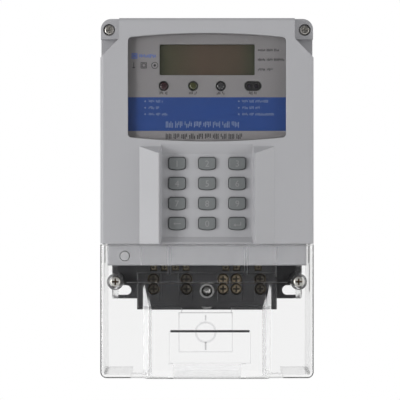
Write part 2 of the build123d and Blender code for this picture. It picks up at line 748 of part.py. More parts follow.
board_parts = {
    "supply_transformer": ((18, 46), 20.0, (step_z + 24, step_z + 52)),
    "smoothing_capacitor": ((-42, -30), 14.0, (step_z + 44, step_z + 66)),
    "backup_battery": ((-4, 14), 10.0, (step_z + 22, step_z + 50)),
    "metering_chip": ((-24, -14), 1.8, (step_z + 44, step_z + 54)),
    "microcontroller": ((-8, 6), 1.6, (step_z + 62, step_z + 76)),
    "board_connector": ((20, 40), 4.0, (step_z + 78, step_z + 84)),
}
for name, (x, rise, z) in board_parts.items():
    with BuildPart() as component:
        block(x, (main_front, main_front + rise), z)
        if rise > 5:
            fillet(front_edges(component), 1.2)
    save(component.part, name)

# folded flat cable from the main board's connector up to the front board
cable_thick = 0.6
cable_low = step_z + 80.5
cable_width = 18.0
with BuildPart() as ribbon_cable:
    with BuildSketch(Plane.YZ.offset(board_parts["board_connector"][0][0] + 1)):
        with BuildLine():
            FilletPolyline(
                (-main_front - board_parts["board_connector"][1] - cable_thick / 2, cable_low),
                (-main_front - 12.0, cable_low),
                (-main_front - 20.0, cable_low - 9),
                (-front_board_depth + 6.0, cable_low),
                (-front_board_depth + cable_thick / 2, cable_low),
                radius=3,
            )
            offset(amount=cable_thick / 2, side=Side.BOTH)
        make_face()
    extrude(amount=cable_width)
save(ribbon_cable.part, "ribbon_cable")

buzzer_spot = [(-38.0, step_z + 30.0)]
buzzer_back = front_board_depth - 6.0
with BuildPart() as buzzer:
    prism(disc(6.0), (buzzer_back, front_board_depth), buzzer_spot)
    prism(disc(1.0), (buzzer_back, buzzer_back + 0.8), buzzer_spot, Mode.SUBTRACT)
save(buzzer.part, "buzzer")

# ================================================================ terminal cover
# One clear moulding: flat at the top, a bulge over the cables below, an open cable way
# at the foot, and a tube down to the base for each seal screw.
cover_top = step_z - 0.4
cover_back = 1.0
cover_inner_half = half_width - cover_wall
bulge_rise = 8.0
bulge_base, bulge_crest = 36.8, 33.6
bulge_high, bulge_full = bottom + 54.8, bottom + 41.8
foot_round = 5.0         # the bulge's lower front edge
crest_round = 1.2        # its other front edges
post_x, post_half, post_top = 20.7, 1.4, bottom + 8.6   # ribs inside the foot of the bulge
cover_foot_radius = 3.6
crest_depth = face_depth + bulge_rise
knockout_x, knockout_z = -0.8, bottom + 26.9
knockout_width, knockout_height, knockout_radius = 30.8, 22.8, 6.0
knockout_line = 0.7
ledge_x = (-21.0, 24.3)
ledge_z, ledge_thick = bottom + 26.8, 1.4
label_foot = bottom + 8.7
cable_way_half, cable_way_depth = 44.0, 46.0
tube_radius = 4.5
web_length = 9.8
inner_rib_x = 21.6


def bulge(inset, low, back):
    """The bulge as a solid: a trapezium seen from above, a ramp seen from the side."""
    with BuildPart() as body:
        with BuildSketch(Plane.XY.offset(low)):
            with BuildLine():
                Polyline(
                    (-bulge_base + inset, -back),
                    (bulge_base - inset, -back),
                    (bulge_base - inset, -face_depth),
                    (bulge_crest - inset, -crest_depth + inset),
                    (-bulge_crest + inset, -crest_depth + inset),
                    (-bulge_base + inset, -face_depth),
                    close=True,
                )
            make_face()
        extrude(amount=bulge_high - low)
        with BuildSketch(Plane.YZ):
            with BuildLine():
                Polyline(
                    (-back, low),
                    (-crest_depth + inset, low),
                    (-crest_depth + inset, bulge_full - inset),
                    (-face_depth + inset, bulge_high - 0.5 * inset),
                    (-back, bulge_high - 0.5 * inset),
                    close=True,
                )
            make_face()
        extrude(amount=half_width, both=True, mode=Mode.INTERSECT)
    return body


outer_bulge = bulge(0.0, bottom, cover_inner)
with outer_bulge:
    fillet(front_edges(outer_bulge).sort_by(Axis.Z)[0], foot_round)
    crest = front_edges(outer_bulge)
    fillet(crest.filter_by(Axis.Z) + crest.filter_by(Axis.X).sort_by(Axis.Z)[-1:], crest_round)

with BuildPart() as terminal_cover:
    with BuildSketch(front(cover_back)) as cover_outline:
        with Locations((0, (cover_top + bottom) / 2)):
            Rectangle(width, cover_top - bottom)
        fillet(cover_outline.vertices().group_by(Axis.Y)[0], cover_foot_radius)
    extrude(amount=face_depth - cover_back)
    fillet(front_edges(terminal_cover).sort_by(Axis.Z)[:-1], 1.6)
    add(outer_bulge.part)
    prism(
        rectangle((-cover_inner_half, cover_inner_half), (bottom + cover_wall, cover_top + 5)),
        (cover_back, cover_inner),
        mode=Mode.SUBTRACT,
    )
    add(bulge(cover_wall, bottom + cover_wall, cover_inner - 0.5).part, mode=Mode.SUBTRACT)
    for x in (-post_x, post_x):
        post = ((x - post_half, x + post_half), (cover_inner - 0.5, crest_depth - cover_wall + 0.5))
        block(*post, (bottom + 1.0, post_top))
    # cable way at the foot
    way_x = (-cable_way_half, cable_way_half)
    block(way_x, (cover_back, cable_way_depth), (bottom, bottom + cover_wall), Mode.SUBTRACT)
    # tubes for the seal screws, each with a web above and below
    prism(disc(tube_radius), (post_depth + 0.4, face_depth), cover_screws)
    web = rectangle((-1.1, 1.1), (-web_length, lip_z - cover_screw_z - cover_gap))
    prism(web, (post_depth + 4, cover_inner), cover_screws)
    prism(disc(cover_head_radius + 0.3), (seal_head_back, face_depth + 1), cover_screws, Mode.SUBTRACT)
    prism(disc(cover_screw_radius + slip), (post_depth, face_depth), cover_screws, Mode.SUBTRACT)
    # stiffening ribs inside the flat part
    for x in (-inner_rib_x, inner_rib_x):
        block((x - 0.4, x + 0.4), (cover_inner - 0.4, cover_inner + 0.1), (lip_z - 2, cover_top - 1))
    # knock-out outline, and the label field with its ledge, on the bulge
    inner_width = knockout_width - 2 * knockout_line
    with BuildSketch(front(crest_depth)):
        with Locations((knockout_x, knockout_z)):
            Rectangle(knockout_width, knockout_height)
            Rectangle(inner_width, knockout_height - 2 * knockout_line, mode=Mode.SUBTRACT)
            Circle(knockout_radius)
            Circle(knockout_radius - knockout_line, mode=Mode.SUBTRACT)
            with Locations((0, knockout_radius + 1.5), (0, -knockout_radius - 1.5)):
                Rectangle(knockout_line, 3.6)
    extrude(amount=0.4)
    block(ledge_x, (crest_depth, crest_depth + 1.2), (ledge_z, ledge_z + ledge_thick))
    block(ledge_x, (crest_depth, crest_depth + 0.4), (label_foot, ledge_z))
save(terminal_cover.part, "terminal_cover")

screw(
    "cover_seal_screws",
    cover_screws,
    (cover_head_radius, seal_head_back, face_depth),
    (cover_screw_radius, post_depth - 16.0, seal_head_back),
)
screw(
    "front_cover_screws",
    case_screws,
    (case_head_radius, case_head_back, platform_depth - 0.4),
    (case_screw_radius, base_depth - 14.0, case_head_back),
)
for name, places, depth, direction in (
    ("main_board_screws", main_posts, main_front, 1),
    ("front_board_screws", panel_posts, front_board_depth, -1),
):
    with BuildPart() as screws:
        prism(disc(board_head_radius), (depth, depth + 1.6 * direction), places)
        reach = board_thick + board_screw_length - 0.3
        prism(disc(board_screw_radius), (depth, depth - reach * direction), places)
    save(screws.part, name)
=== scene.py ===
import json
import math
import random

import bmesh
import bpy
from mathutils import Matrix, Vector

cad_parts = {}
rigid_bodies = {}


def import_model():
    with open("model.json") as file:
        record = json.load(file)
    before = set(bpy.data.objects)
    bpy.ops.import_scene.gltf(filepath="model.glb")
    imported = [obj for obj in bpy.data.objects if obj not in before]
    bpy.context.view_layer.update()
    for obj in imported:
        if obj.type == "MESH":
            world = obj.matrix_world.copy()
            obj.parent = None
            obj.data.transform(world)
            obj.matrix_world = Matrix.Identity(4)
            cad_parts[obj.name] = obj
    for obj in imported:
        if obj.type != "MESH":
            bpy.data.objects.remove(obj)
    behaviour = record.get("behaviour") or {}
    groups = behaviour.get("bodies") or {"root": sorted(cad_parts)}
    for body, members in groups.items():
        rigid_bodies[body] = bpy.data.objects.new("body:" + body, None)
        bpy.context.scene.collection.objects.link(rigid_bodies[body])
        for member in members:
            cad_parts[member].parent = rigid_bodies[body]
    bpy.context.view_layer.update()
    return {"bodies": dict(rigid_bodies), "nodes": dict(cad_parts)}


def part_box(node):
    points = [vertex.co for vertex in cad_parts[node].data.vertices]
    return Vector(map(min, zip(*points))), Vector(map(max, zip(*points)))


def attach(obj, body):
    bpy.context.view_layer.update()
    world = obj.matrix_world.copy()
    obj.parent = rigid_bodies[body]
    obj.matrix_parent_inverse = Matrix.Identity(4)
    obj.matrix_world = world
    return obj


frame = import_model()


# ---------------------------------------------------------------- base case
# The tray against the wall: black glass-filled plastic from one mould. The tool left a
# fine spark texture, and corners and high spots have been rubbed a little shiny and grey.
def add_math(tree, operation, first, second, third=0.0):
    node = tree.nodes.new("ShaderNodeMath")
    node.operation = operation
    for socket, value in zip(node.inputs, (first, second, third)):
        if isinstance(value, (int, float)):
            socket.default_value = value
        else:
            tree.links.new(value, socket)
    return node.outputs[0]


def add_range(tree, value, low, high, to_low=0.0, to_high=1.0):
    """value, spread from low and high to to_low and to_high, and held there."""
    node = tree.nodes.new("ShaderNodeMapRange")
    settings = {"From Min": low, "From Max": high, "To Min": to_low, "To Max": to_high}
    for key, setting in settings.items():
        if isinstance(setting, (int, float)):
            node.inputs[key].default_value = setting
        else:
            tree.links.new(setting, node.inputs[key])
    tree.links.new(value, node.inputs["Value"])
    return node.outputs[0]


def add_noise(tree, scale, detail=2.0, roughness=0.5, stretch=None):
    """Noise fixed to the piece; stretch squeezes it along x, y and z."""
    source = tree.nodes.new("ShaderNodeTexCoord").outputs["Object"]
    if stretch:
        mapping = tree.nodes.new("ShaderNodeMapping")
        mapping.inputs["Scale"].default_value = stretch
        tree.links.new(source, mapping.inputs["Vector"])
        source = mapping.outputs["Vector"]
    noise = tree.nodes.new("ShaderNodeTexNoise")
    noise.inputs["Scale"].default_value = scale
    noise.inputs["Detail"].default_value = detail
    noise.inputs["Roughness"].default_value = roughness
    tree.links.new(source, noise.inputs["Vector"])
    return noise.outputs["Fac"]


def add_mix(tree, share, first, second):
    """A colour between two; each is an output or three numbers."""
    node = tree.nodes.new("ShaderNodeMix")
    node.data_type = "RGBA"
    tree.links.new(share, node.inputs["Factor"])
    for key, value in (("A", first), ("B", second)):
        socket = [s for s in node.inputs if s.name == key and s.type == "RGBA"][0]
        if isinstance(value, tuple):
            socket.default_value = (*value, 1)
        else:
            tree.links.new(value, socket)
    return [s for s in node.outputs if s.type == "RGBA"][0]


def new_group(name, inputs, outputs):
    """An empty shader node group with these sockets: (name, kind, value) and (name, kind)."""
    tree = bpy.data.node_groups.new(name, "ShaderNodeTree")
    for label, kind, value in inputs:
        socket = tree.interface.new_socket(name=label, in_out="INPUT", socket_type="NodeSocket" + kind)
        socket.default_value = value
    for label, kind in outputs:
        tree.interface.new_socket(name=label, in_out="OUTPUT", socket_type="NodeSocket" + kind)
    return tree, tree.nodes.new("NodeGroupInput").outputs, tree.nodes.new("NodeGroupOutput").inputs


def moulded_skin():
    """Moulded plastic: spark texture, slow mottling, rubbed patches and worn corners."""
    tree, given, result = new_group(
        "moulded_skin",
        [
            ("Colour", "Color", (0.5, 0.5, 0.5, 1)),
            ("Mottle", "Float", 0.05),
            ("Roughness", "Float", 0.5),
            ("Rub", "Float", 0.1),
            ("Texture", "Float", 0.3),
            ("Wear", "Float", 0.2),
            ("Corner", "Float", 0.0003),
        ],
        [("Colour", "Color"), ("Roughness", "Float"), ("Normal", "Vector")],
    )
    # how far the softened corner's normal leaves the flat one marks the worn edges
    corner = tree.nodes.new("ShaderNodeBevel")
    corner.samples = 4
    tree.links.new(given["Corner"], corner.inputs["Radius"])
    lean = tree.nodes.new("ShaderNodeVectorMath")
    lean.operation = "DOT_PRODUCT"
    tree.links.new(corner.outputs["Normal"], lean.inputs[0])
    tree.links.new(tree.nodes.new("ShaderNodeNewGeometry").outputs["Normal"], lean.inputs[1])
    edge = add_range(tree, lean.outputs["Value"], 0.98, 0.75)
    broken = add_range(tree, add_noise(tree, 160.0, 4.0, 0.7), 0.35, 0.65)
    worn = add_math(tree, "MULTIPLY", add_math(tree, "MULTIPLY", edge, broken), given["Wear"])
    # colour
    slow = add_math(tree, "SUBTRACT", add_noise(tree, 38.0, 3.0), 0.5)
    level = add_math(tree, "MULTIPLY_ADD", slow, given["Mottle"], 1.0)
    tint = tree.nodes.new("ShaderNodeVectorMath")
    tint.operation = "SCALE"
    tree.links.new(given["Colour"], tint.inputs[0])
    tree.links.new(level, tint.inputs["Scale"])
    tree.links.new(add_mix(tree, worn, tint.outputs[0], (0.62, 0.62, 0.63)), result["Colour"])
    # roughness
    patch = add_range(tree, add_noise(tree, 14.0, 4.0, 0.6), 0.45, 0.7)
    gloss = add_math(tree, "MULTIPLY", add_math(tree, "MAXIMUM", patch, edge), given["Rub"])
    tree.links.new(add_math(tree, "SUBTRACT", given["Roughness"], gloss), result["Roughness"])
    # spark texture over the softened corners
    bump = tree.nodes.new("ShaderNodeBump")
    bump.inputs["Distance"].default_value = 0.00004
    tree.links.new(given["Texture"], bump.inputs["Strength"])
    tree.links.new(add_noise(tree, 2600.0, 3.0, 0.65), bump.inputs["Height"])
    tree.links.new(corner.outputs["Normal"], bump.inputs["Normal"])
    tree.links.new(bump.outputs["Normal"], result["Normal"])
    return tree


skin_group = moulded_skin()


def new_material(name, **shader_values):
    """A material with these values on its shader; returns it, its node tree and the shader."""
    made = bpy.data.materials.new(name)
    made.use_nodes = True
    shader = made.node_tree.nodes["Principled BSDF"]
    for key, value in shader_values.items():
        shader.inputs[key.replace("_", " ")].default_value = value
    return made, made.node_tree, shader


def with_skin(name, group, values, **shader_values):
    """A material whose colour, roughness and normal come from a finish group."""
    made, tree, shader = new_material(name, **shader_values)
    skin = tree.nodes.new("ShaderNodeGroup")
    skin.node_tree = group
    for key, value in values.items():
        skin.inputs[key].default_value = value
    tree.links.new(skin.outputs["Colour"], shader.inputs["Base Color"])
    tree.links.new(skin.outputs["Roughness"], shader.inputs["Roughness"])
    tree.links.new(skin.outputs["Normal"], shader.inputs["Normal"])
    return made


def moulded(name, colour, roughness=0.5, mottle=0.06, rub=0.1, texture=0.3, wear=0.1, corner=0.0003):
    values = {
        "Colour": (*colour, 1),
        "Mottle": mottle,
        "Roughness": roughness,
        "Rub": rub,
        "Texture": texture,
        "Wear": wear,
        "Corner": corner,
    }
    return with_skin(name, skin_group, values)


def finish_nodes(material, *names):
    """These CAD pieces keep their shapes and take this material."""
    for name in names:
        slots = frame["nodes"][name].data.materials
        slots.clear()
        slots.append(material)


case_black = moulded("case_black", (0.03, 0.03, 0.033), 0.4, 0.3, 0.12, 0.4, 0.12)
finish_nodes(case_black, "base_case")

# the foam strip pressed in the joint between the base and the front cover
gasket_foam = moulded("gasket_foam", (0.02, 0.02, 0.02), 0.9, 0.3, 0.0, 1.0, 0.0)
finish_nodes(gasket_foam, "cover_gasket")


# ---------------------------------------------------------------- power path and boards
# Copper links run from the terminals to the relay and the current sensors. Behind the
# covers two green boards, held by screws on moulded posts, carry the electronics.
def machined_metal():
    """Bare metal: fine machining lines, blotches of tarnish and uneven polish."""
    tree, given, result = new_group(
        "machined_metal",
        [
            ("Colour", "Color", (0.7, 0.7, 0.7, 1)),
            ("Tarnish Colour", "Color", (0.2, 0.15, 0.1, 1)),
            ("Tarnish", "Float", 0.3),
            ("Roughness", "Float", 0.25),
            ("Lines", "Float", 0.4),
        ],
        [("Colour", "Color"), ("Roughness", "Float"), ("Normal", "Vector")],
    )
    lines = add_noise(tree, 500.0, 3.0, 0.6, (1, 1, 9))
    blotch = add_range(tree, add_noise(tree, 420.0, 4.0, 0.65), 0.42, 0.72)
    stain = add_math(tree, "MULTIPLY", blotch, given["Tarnish"])
    tree.links.new(add_mix(tree, stain, given["Colour"], given["Tarnish Colour"]), result["Colour"])
    rough = add_math(tree, "MULTIPLY_ADD", lines, 0.15, given["Roughness"])
    tree.links.new(add_math(tree, "MULTIPLY_ADD", stain, 0.3, rough), result["Roughness"])
    corner = tree.nodes.new("ShaderNodeBevel")
    corner.samples = 4
    corner.inputs["Radius"].default_value = 0.00025
    bump = tree.nodes.new("ShaderNodeBump")
    bump.inputs["Distance"].default_value = 0.00002
    tree.links.new(given["Lines"], bump.inputs["Strength"])
    tree.links.new(lines, bump.inputs["Height"])
    tree.links.new(corner.outputs["Normal"], bump.inputs["Normal"])
    tree.links.new(bump.outputs["Normal"], result["Normal"])
    return tree


metal_group = machined_metal()


def bare_metal(name, colour, tarnish_colour, tarnish, roughness, lines=0.4):
    values = {
        "Colour": (*colour, 1),
        "Tarnish Colour": (*tarnish_colour, 1),
        "Tarnish": tarnish,
        "Roughness": roughness,
        "Lines": lines,
    }
    return with_skin(name, metal_group, values, Metallic=1.0)


def screw_metal(name, node, recess_shade, *values, brassy=None):
    """Bare metal on a node of screws, with painted shade: darker below the front of each head, in its recess
    and down its sides.

    brassy is (low x, high x, colour) for the screws between two x that have another colour.
    """
    made = bare_metal(name, *values)
    tree = made.node_tree
    shader = tree.nodes["Principled BSDF"]
    place = tree.nodes.new("ShaderNodeTexCoord")
    split = tree.nodes.new("ShaderNodeSeparateXYZ")
    tree.links.new(place.outputs["Object"], split.inputs[0])
    bare = shader.inputs["Base Color"].links[0].from_socket
    if brassy:
        low, high, colour = brassy
        inside = add_math(tree, "COMPARE", split.outputs["X"], (low + high) / 2, (high - low) / 2)
        bare = add_mix(tree, inside, bare, colour)
    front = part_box(node)[0].y
    # painted shade: from 0.3 to 0.6 mm behind the front of the heads the metal turns to the dark recess
    # colour
    depth = add_range(tree, split.outputs["Y"], front + 0.0003, front + 0.0006)
    tree.links.new(add_mix(tree, depth, bare, recess_shade), shader.inputs["Base Color"])
    finish_nodes(made, node)


copper = bare_metal("copper", (0.82, 0.43, 0.28), (0.3, 0.13, 0.07), 0.6, 0.25)
finish_nodes(copper, "current_shunt", "live_link", "neutral_link")
zinc_steel = bare_metal("zinc_steel", (0.72, 0.7, 0.66), (0.34, 0.3, 0.24), 0.4, 0.22)
finish_nodes(zinc_steel, "main_board_screws", "front_board_screws")


def board_mask():
    """Green solder mask, with the copper tracks under it showing as paler lines."""
    made, tree, shader = new_material("board_green", Specular_IOR_Level=0.5)
    place = tree.nodes.new("ShaderNodeTexCoord")
    turn = tree.nodes.new("ShaderNodeMapping")
    turn.inputs["Rotation"].default_value = (math.radians(90), 0, 0)
    tracks = tree.nodes.new("ShaderNodeTexBrick")
    tracks.inputs["Scale"].default_value = 160.0
    tracks.inputs["Mortar Size"].default_value = 0.04
    tracks.inputs["Color1"].default_value = (0.012, 0.09, 0.035, 1)
    tracks.inputs["Color2"].default_value = (0.016, 0.12, 0.045, 1)
    tracks.inputs["Mortar"].default_value = (0.05, 0.22, 0.09, 1)
    tree.links.new(place.outputs["Object"], turn.inputs["Vector"])
    tree.links.new(turn.outputs["Vector"], tracks.inputs["Vector"])
    tree.links.new(tracks.outputs["Color"], shader.inputs["Base Color"])
    tree.links.new(add_range(tree, add_noise(tree, 90.0), 0.3, 0.7, 0.25, 0.4), shader.inputs["Roughness"])
    bump = tree.nodes.new("ShaderNodeBump")
    bump.inputs["Distance"].default_value = 0.00003
    bump.inputs["Strength"].default_value = 0.5
    tree.links.new(tracks.outputs["Fac"], bump.inputs["Height"])
    tree.links.new(bump.outputs["Normal"], shader.inputs["Normal"])
    return made


finish_nodes(board_mask(), "main_board", "front_board")
chip_epoxy = moulded("chip_epoxy", (0.016, 0.016, 0.017), 0.55, 0.3)
finish_nodes(chip_epoxy, "metering_chip", "microcontroller", "buzzer", "tamper_switch")
finish_nodes(moulded("relay_black", (0.03, 0.03, 0.035), 0.35, 0.2), "latching_relay")
finish_nodes(moulded("potting_white", (0.55, 0.55, 0.5), 0.35, 0.1), "current_transformer")
finish_nodes(moulded("core_varnish", (0.11, 0.075, 0.04), 0.4, 0.6, 0.2, 0.8), "supply_transformer")
finish_nodes(moulded("capacitor_sleeve", (0.03, 0.08, 0.2), 0.3, 0.2), "smoothing_capacitor")
finish_nodes(moulded("battery_sleeve", (0.05, 0.16, 0.08), 0.3, 0.2), "backup_battery")
finish_nodes(moulded("nylon_white", (0.6, 0.58, 0.52), 0.5), "board_connector")


def ribbon_vinyl():
    """Grey vinyl flat cable: parallel wires side by side, with the first one marked red."""
    made, tree, shader = new_material("ribbon_vinyl")
    low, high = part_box("ribbon_cable")
    place = tree.nodes.new("ShaderNodeTexCoord")
    split = tree.nodes.new("ShaderNodeSeparateXYZ")
    tree.links.new(place.outputs["Object"], split.inputs[0])
    along = add_range(tree, split.outputs["X"], low.x, high.x, 0.0, 14.0)
    wire = add_math(tree, "PINGPONG", along, 0.5)
    marked = add_math(tree, "LESS_THAN", along, 1.0)
    tree.links.new(add_mix(tree, marked, (0.3, 0.3, 0.31), (0.35, 0.03, 0.02)), shader.inputs["Base Color"])
    tree.links.new(add_range(tree, add_noise(tree, 300.0), 0.3, 0.7, 0.4, 0.6), shader.inputs["Roughness"])
    bump = tree.nodes.new("ShaderNodeBump")
    bump.inputs["Distance"].default_value = 0.0003
    tree.links.new(wire, bump.inputs["Height"])
    tree.links.new(bump.outputs["Normal"], shader.inputs["Normal"])
    return made


finish_nodes(ribbon_vinyl(), "ribbon_cable")


# ---------------------------------------------------------------- terminal block
# One black moulding plugged up into the case. Brasses sit in it under round screw
# holes, and a raised shelf carries the row of small terminals, all with brass screws.
block_black = moulded("block_black", (0.03, 0.03, 0.032), 0.36, 0.3, 0.1, 0.35, 0.16)
finish_nodes(block_black, "terminal_block")
brass = bare_metal("brass", (0.42, 0.33, 0.2), (0.08, 0.055, 0.03), 0.65, 0.3)
main_brasses = ("live_in_terminal", "live_out_terminal", "neutral_in_terminal", "neutral_out_terminal")
finish_nodes(brass, *main_brasses, "aux_terminals")
# dark brown painted on the screws below the front of their heads: painted shade in the recesses
painted_recess_shade = (0.035, 0.03, 0.024)
aux_values = ((0.5, 0.44, 0.33), (0.12, 0.09, 0.05), 0.5, 0.3)
screw_metal("aux_screw_brass", "aux_terminal_screws", painted_recess_shade, *aux_values)
# the screws of the double terminal keep more of their brass colour
pair_low, pair_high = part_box("neutral_in_terminal")
steel_values = ((0.2, 0.18, 0.15), (0.07, 0.05, 0.035), 0.6, 0.3)
bright_pair = (pair_low.x, pair_high.x, (0.5, 0.41, 0.29))
screw_metal("dull_steel", "main_terminal_screws", painted_recess_shade, *steel_values, brassy=bright_pair)
bright_steel = bare_metal("bright_steel", (0.8, 0.8, 0.79), (0.4, 0.38, 0.35), 0.25, 0.12)
finish_nodes(bright_steel, "block_screw")
finish_nodes(bare_metal("bush_steel", (0.4, 0.4, 0.4), (0.2, 0.19, 0.18), 0.5, 0.4), "block_screw_bush")


# ---------------------------------------------------------------- front cover
# Light grey plastic with a fine spark finish: window and keypad recesses, two ridges,
# corner notches and the lip in one moulding, held to the base by two screws.
case_grey = moulded("case_grey", (0.37, 0.37, 0.385), 0.5, 0.03, 0.08, 0.35, 0.1, 0.0004)
finish_nodes(case_grey, "front_cover")
finish_nodes(zinc_steel, "front_cover_screws")


# ---------------------------------------------------------------- display and lamps
# A black carrier on the front board holds the grey-brown display glass over its
# backlight, three round lamps, and the two infrared diodes in their black port.
carrier_black = moulded("carrier_black", (0.005, 0.005, 0.005), 0.5, 0.2)
finish_nodes(carrier_black, "display_carrier", "ir_housing")
finish_nodes(moulded("backlight_milk", (0.7, 0.7, 0.66), 0.4), "lcd_backlight")


def display_glass():
    """Unlit display: the polariser looks greener at its ends and browner in between."""
    made, tree, shader = new_material("display_glass", Coat_Weight=0.5, Coat_Roughness=0.06)
    low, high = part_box("lcd_glass")
    place = tree.nodes.new("ShaderNodeTexCoord")
    split = tree.nodes.new("ShaderNodeSeparateXYZ")
    tree.links.new(place.outputs["Object"], split.inputs[0])
    across = add_range(tree, split.outputs["X"], low.x, high.x)
    ramp = tree.nodes.new("ShaderNodeValToRGB")
    stops = ramp.color_ramp.elements
    stops[0].position, stops[0].color = 0.05, (0.048, 0.05, 0.03, 1)
    stops[1].position, stops[1].color = 0.95, (0.043, 0.047, 0.029, 1)
    for position, colour in ((0.45, (0.07, 0.05, 0.036, 1)), (0.8, (0.062, 0.048, 0.034, 1))):
        stops.new(position).color = colour
    tree.links.new(across, ramp.inputs["Fac"])
    cloud = add_range(tree, add_noise(tree, 40.0, 1.0), 0.3, 0.7, 0.0, 0.06)
    shade = add_mix(tree, cloud, ramp.outputs["Color"], (0.11, 0.1, 0.08))
    tree.links.new(shade, shader.inputs["Base Color"])
    tree.links.new(add_range(tree, add_noise(tree, 30.0), 0.3, 0.7, 0.22, 0.28), shader.inputs["Roughness"])
    return made


finish_nodes(display_glass(), "lcd_glass")


def lamp_resin(name, colour, rim_shade):
    """Tinted clear resin with faint swirls of the casting; its rim colour is painted shade, darker where the
    surface turns away from view.
    """
    made, tree, shader = new_material(name, Coat_Weight=1.0, Coat_Roughness=0.04)
    facing = tree.nodes.new("ShaderNodeLayerWeight")
    facing.inputs["Blend"].default_value = 0.35
    swirl = add_range(tree, add_noise(tree, 900.0, 2.0), 0.3, 0.7, -0.1, 0.1)
    turned = add_math(tree, "ADD", facing.outputs["Facing"], swirl)
    tree.links.new(add_mix(tree, turned, colour, rim_shade), shader.inputs["Base Color"])
    tree.links.new(add_range(tree, add_noise(tree, 700.0), 0.3, 0.7, 0.15, 0.3), shader.inputs["Roughness"])
    return made


def turned_ring(name, centre, profile, material, body="meter", count=48):
    """A ring or dome turned about an axis towards the front; profile is (radius, y) points."""
    build = bmesh.new()
    rows = []
    for i in range(count):
        angle = 2 * math.pi * i / count
        across, up = math.cos(angle), math.sin(angle)
        rows.append([build.verts.new((centre.x + r * across, y, centre.z + r * up)) for r, y in profile])
    for row, after in zip(rows, rows[1:] + rows[:1]):
        for i in range(len(profile) - 1):
            build.faces.new((row[i], row[i + 1], after[i + 1], after[i]))
    bmesh.ops.remove_doubles(build, verts=build.verts, dist=1e-7)
    bmesh.ops.recalc_face_normals(build, faces=build.faces)
    for face in build.faces:
        face.smooth = True
    mesh = bpy.data.meshes.new(name)
    build.to_mesh(mesh)
    build.free()
    mesh.materials.append(material)
    piece = bpy.data.objects.new(name, mesh)
    bpy.context.scene.collection.objects.link(piece)
    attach(piece, body)
    return piece


def middle_of(node):
    low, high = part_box(node)
    return (low + high) / 2


# the second colour of each lamp is painted shade for its rim
led_finishes = {
    "pulse_led": ((0.022, 0.006, 0.008), (0.006, 0.003, 0.004), "led_red"),
    "alarm_led": ((0.038, 0.04, 0.014), (0.012, 0.013, 0.005), "led_yellow"),
    "power_led": ((0.034, 0.033, 0.035), (0.008, 0.008, 0.008), "led_clear"),
}
for node, (colour, rim_shade, slot) in led_finishes.items():
    finish_nodes(lamp_resin(node + "_resin", colour, rim_shade), node)
    centre, front = middle_of(node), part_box(node)[0].y
    # black ring filling the gap round the lamp, just behind the nameplate's face: painted shade, a dark piece
    # standing where the hole is in shade
    shade = [(0.00236, front + 0.0018), (0.00236, front + 0.0006), (0.00252, front + 0.0004)]
    shade += [(0.00288, front + 0.0004), (0.00288, front + 0.0018)]
    turned_ring(node + "_shade", centre, shade, carrier_black)
diode_dark = lamp_resin("diode_dark", (0.03, 0.025, 0.035), (0.006, 0.006, 0.006))
finish_nodes(diode_dark, "ir_emitter", "ir_receiver")


# ---------------------------------------------------------------- nameplate
# Thin grey plate behind the window, screen-printed with a blue band and small marks.
# Lines of hatching stand where a maker puts ratings, and the ink is a film on the plate.
plate_grey = moulded("plate_grey", (0.182, 0.175, 0.178), 0.5, 0.05, 0.05, 0.1, 0.0)
finish_nodes(plate_grey, "nameplate")
plate_low, plate_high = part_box("nameplate")
lcd_middle = middle_of("lcd_glass")
ink_thick = 0.00004


def printed(name, outlines, material, layer=1, body="meter", face=None):
    """Ink or moulding of closed outlines of (x, z) points, one film thick, facing forward."""
    back = (plate_low.y if face is None else face) - (layer - 1) * ink_thick
    build = bmesh.new()
    for outline in outlines:
        loop = [build.verts.new((x, back - ink_thick, z)) for x, z in outline]
        rear = [build.verts.new((x, back, z)) for x, z in outline]
        build.faces.new(loop)
        for i in range(len(loop)):
            build.faces.new((loop[i - 1], loop[i], rear[i], rear[i - 1]))
    bmesh.ops.recalc_face_normals(build, faces=build.faces)
    mesh = bpy.data.meshes.new(name)
    build.to_mesh(mesh)
    build.free()
    mesh.materials.append(material)
    piece = bpy.data.objects.new(name, mesh)
    bpy.context.scene.collection.objects.link(piece)
    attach(piece, body)
    return piece


def ink(name, colour, roughness=0.45):
    """Screen ink, nearly flat, with the slight mottle that the mesh of the screen leaves."""
    return moulded(name, colour, roughness, 0.12, 0.05, 0.15, 0.0)


def box_outline(x, z, width, height):
    """A rectangle from its left end and its middle height."""
    low, high = z - height / 2, z + height / 2
    return [(x, low), (x + width, low), (x + width, high), (x, high)]


def frame_outlines(x, z, width, height, line):
    """The four strokes of a hollow rectangle round a middle point."""
    left, low = x - width / 2, z - height / 2
    return [
        box_outline(left, low + line / 2, width, line),
        box_outline(left, low + height - line / 2, width, line),
        box_outline(left, z, line, height - 2 * line),
        box_outline(left + width - line, z, line, height - 2 * line),
    ]


def ring_outlines(x, z, radius, line, count=28):
    """A ring as short strokes laid end to end."""
    strokes = []
    for i in range(count):
        ends = [2 * math.pi * (i + step) / count for step in (0, 1)]
        points = [(radius, ends[0]), (radius, ends[1]), (radius - line, ends[1]), (radius - line, ends[0])]
        strokes.append([(x + r * math.cos(a), z + r * math.sin(a)) for r, a in points])
    return strokes


def disc_outline(x, z, radius, count=20):
    steps = [2 * math.pi * i / count for i in range(count)]
    return [(x + radius * math.cos(a), z + radius * math.sin(a)) for a in steps]


def hatching(x, end, z, height, pitch, words=(), seed=1):
    """A line of upright strokes of uneven height from x to end, with a gap after each word."""
    chance = random.Random(seed)
    strokes = []
    count = int((end - x) / pitch)
    for i in range(count):
        if i in words:
            continue
        tall = height * chance.choice((0.6, 0.75, 0.9, 1.0))
        lift = (height - tall) * chance.choice((-0.5, 0.0, 0.5))
        strokes.append(box_outline(x + i * pitch, z + lift, pitch * 0.55, tall))
    return strokes


